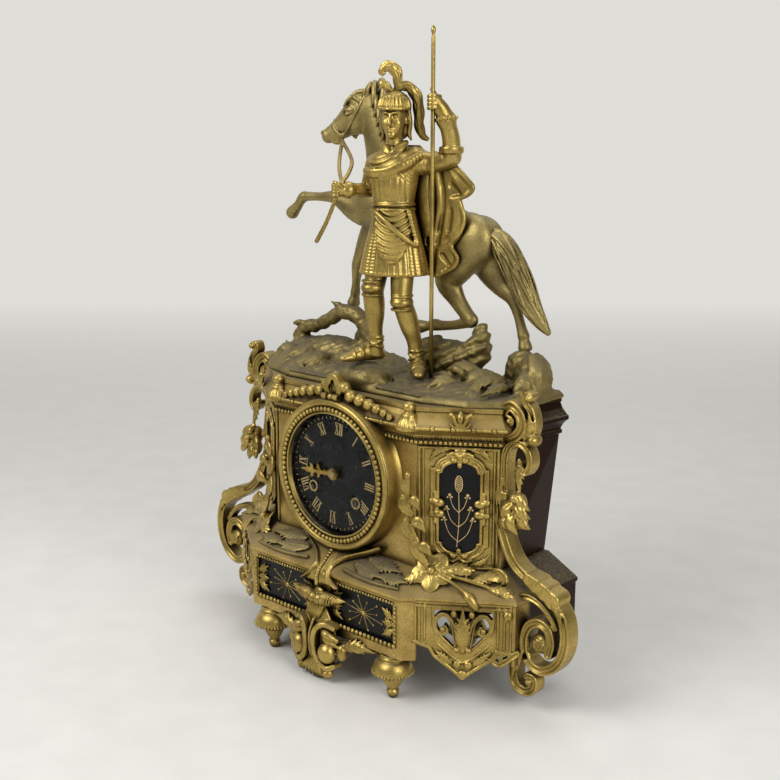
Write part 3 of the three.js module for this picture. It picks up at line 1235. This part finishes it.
function hammer() {
  const shaft = turnedDeep([
    [0, frontPlateY + 0.4], [pivotRadius, frontPlateY + 0.4], [pivotRadius, frontPlateBackY + gap],
    [1.4, frontPlateBackY + gap], [1.4, bellMouthY + 5], [0, bellMouthY + 5],
  ], 8);
  const toPins = spot.pinWheel.clone().sub(spot.hammer);
  const tailEnd = toPins.clone().setLength(toPins.length() - pinCircle - 2.4);
  const tailY = depth(pinWheelStepDeep + 2.4);
  const tail = limb([[at(0, tailY, 0), 0.8, 0.8], [tailEnd.setY(tailY), 0.8, 0.8]], at(0, 1, 0), 4);
  const toBell = spot.bell.clone().sub(spot.hammer);
  const reach = toBell.length() - bellRadius - 4;
  const slope = Math.atan2(toBell.z, toBell.x);
  const rise = radians(14);
  const [headX, headZ] = [reach * Math.cos(slope + rise), reach * Math.sin(slope + rise)];
  const arm = limb([
    [at(0, bellMouthY + 3, 0), 1, 1], [at(headX, bellMouthY + 3, headZ), 1, 1],
  ], at(0, 1, 0), 6);
  return join([shaft, tail, arm, ballAt(at(headX, bellMouthY + 3, headZ), 2.6, 2.6, 2.6, 8, 6)]);
}
addPart('hammer', hammer(), steel, spot.hammer);

// Motion work between the dial and the front plate, and the hands
const handTurn = radians(261.8 + dialTwistDegrees);
const studRadius = 1;
const minuteWheelY = frontPlateY - 2.4;
const hourWheelY = frontPlateY - 5;

// A hand pointing along its own +Z: hub, bar with a collar and a lily tip
function handShape(length, hub) {
  const right = [
    [1.5, hub - 0.4], [1.2, length * 0.34], [2.6, length * 0.4], [1.1, length * 0.45], [1, length * 0.6],
    [4.6, length * 0.63], [5.4, length * 0.72], [3.4, length * 0.7], [1.5, length * 0.71], [2.4, length * 0.8],
    [0.9, length * 0.88], [0.35, length],
  ];
  const left = right.map(([x, z]) => [-x, z]).reverse();
  return polygon([...right, ...left]);
}
const aimed = (body) => body.rotate([0, THREE.MathUtils.radToDeg(handTurn), 0]);

function minuteHand() {
  const y = dialFrontY - 3.8;
  const blade = join([upright(handShape(33.5, 4), y, 0.8), rodDeep(4.4, y, y + 0.8, 12)]);
  const pipe = rodDeep(2.1, cannonFrontY, frontPlateY - gap, 10);
  const pinion = toothed(cannonLeaves, cannonModule, toothAt('centre', 'minuteWheel'), frontPlateY - 2.8, frontPlateY - gap);
  return cut(join([aimed(blade), pipe, pinion]), [rodDeep(1.5, cannonFrontY - 1, frontPlateY + 1, 10)]);
}
addPart('minute_hand', minuteHand(), brass, spot.centre);

function hourHand() {
  const y = dialFrontY - 2.2;
  const blade = join([upright(handShape(25, 4.4), y, 0.8), rodDeep(4.2, y, y + 0.8, 12)]);
  const pipe = rodDeep(3.6, y, hourWheelY + 1.4, 12);
  const wheel = toothed(motionTeeth, hourModule, spaceAt('centre', 'minuteWheel', motionTeeth), hourWheelY, hourWheelY + 1.4);
  return cut(join([aimed(blade), pipe, wheel]), [rodDeep(2.6, y - 1, frontPlateY, 10)]);
}
addPart('hour_hand', hourHand(), brass, spot.centre);

function minuteWheel() {
  const stud = rodDeep(studRadius + gap, hourWheelY - 1, frontPlateY, 8);
  const wheel = toothed(motionTeeth, cannonModule, spaceAt('minuteWheel', 'centre', motionTeeth), minuteWheelY,
    minuteWheelY + 1.4);
  const pinion = toothed(leaves, hourModule, toothAt('minuteWheel', 'centre'), hourWheelY - 0.4, minuteWheelY + 0.4);
  return cut(join([wheel, pinion]), [stud]);
}
addPart('minute_wheel', minuteWheel(), brass, spot.minuteWheel);
addPart('motion_stud', rodDeep(studRadius, hourWheelY - 0.6, frontPlateY - gap, 8), steel, spot.minuteWheel);
addPart('hand_collet', turnedDeep([
  [1.5, cannonFrontY - 1.6], [2.6, cannonFrontY - 1.4], [3.2, cannonFrontY - gap], [1.5, cannonFrontY - gap],
  [1.5, cannonFrontY - 1.6],
], 12), brass, spot.centre);

export default clock;
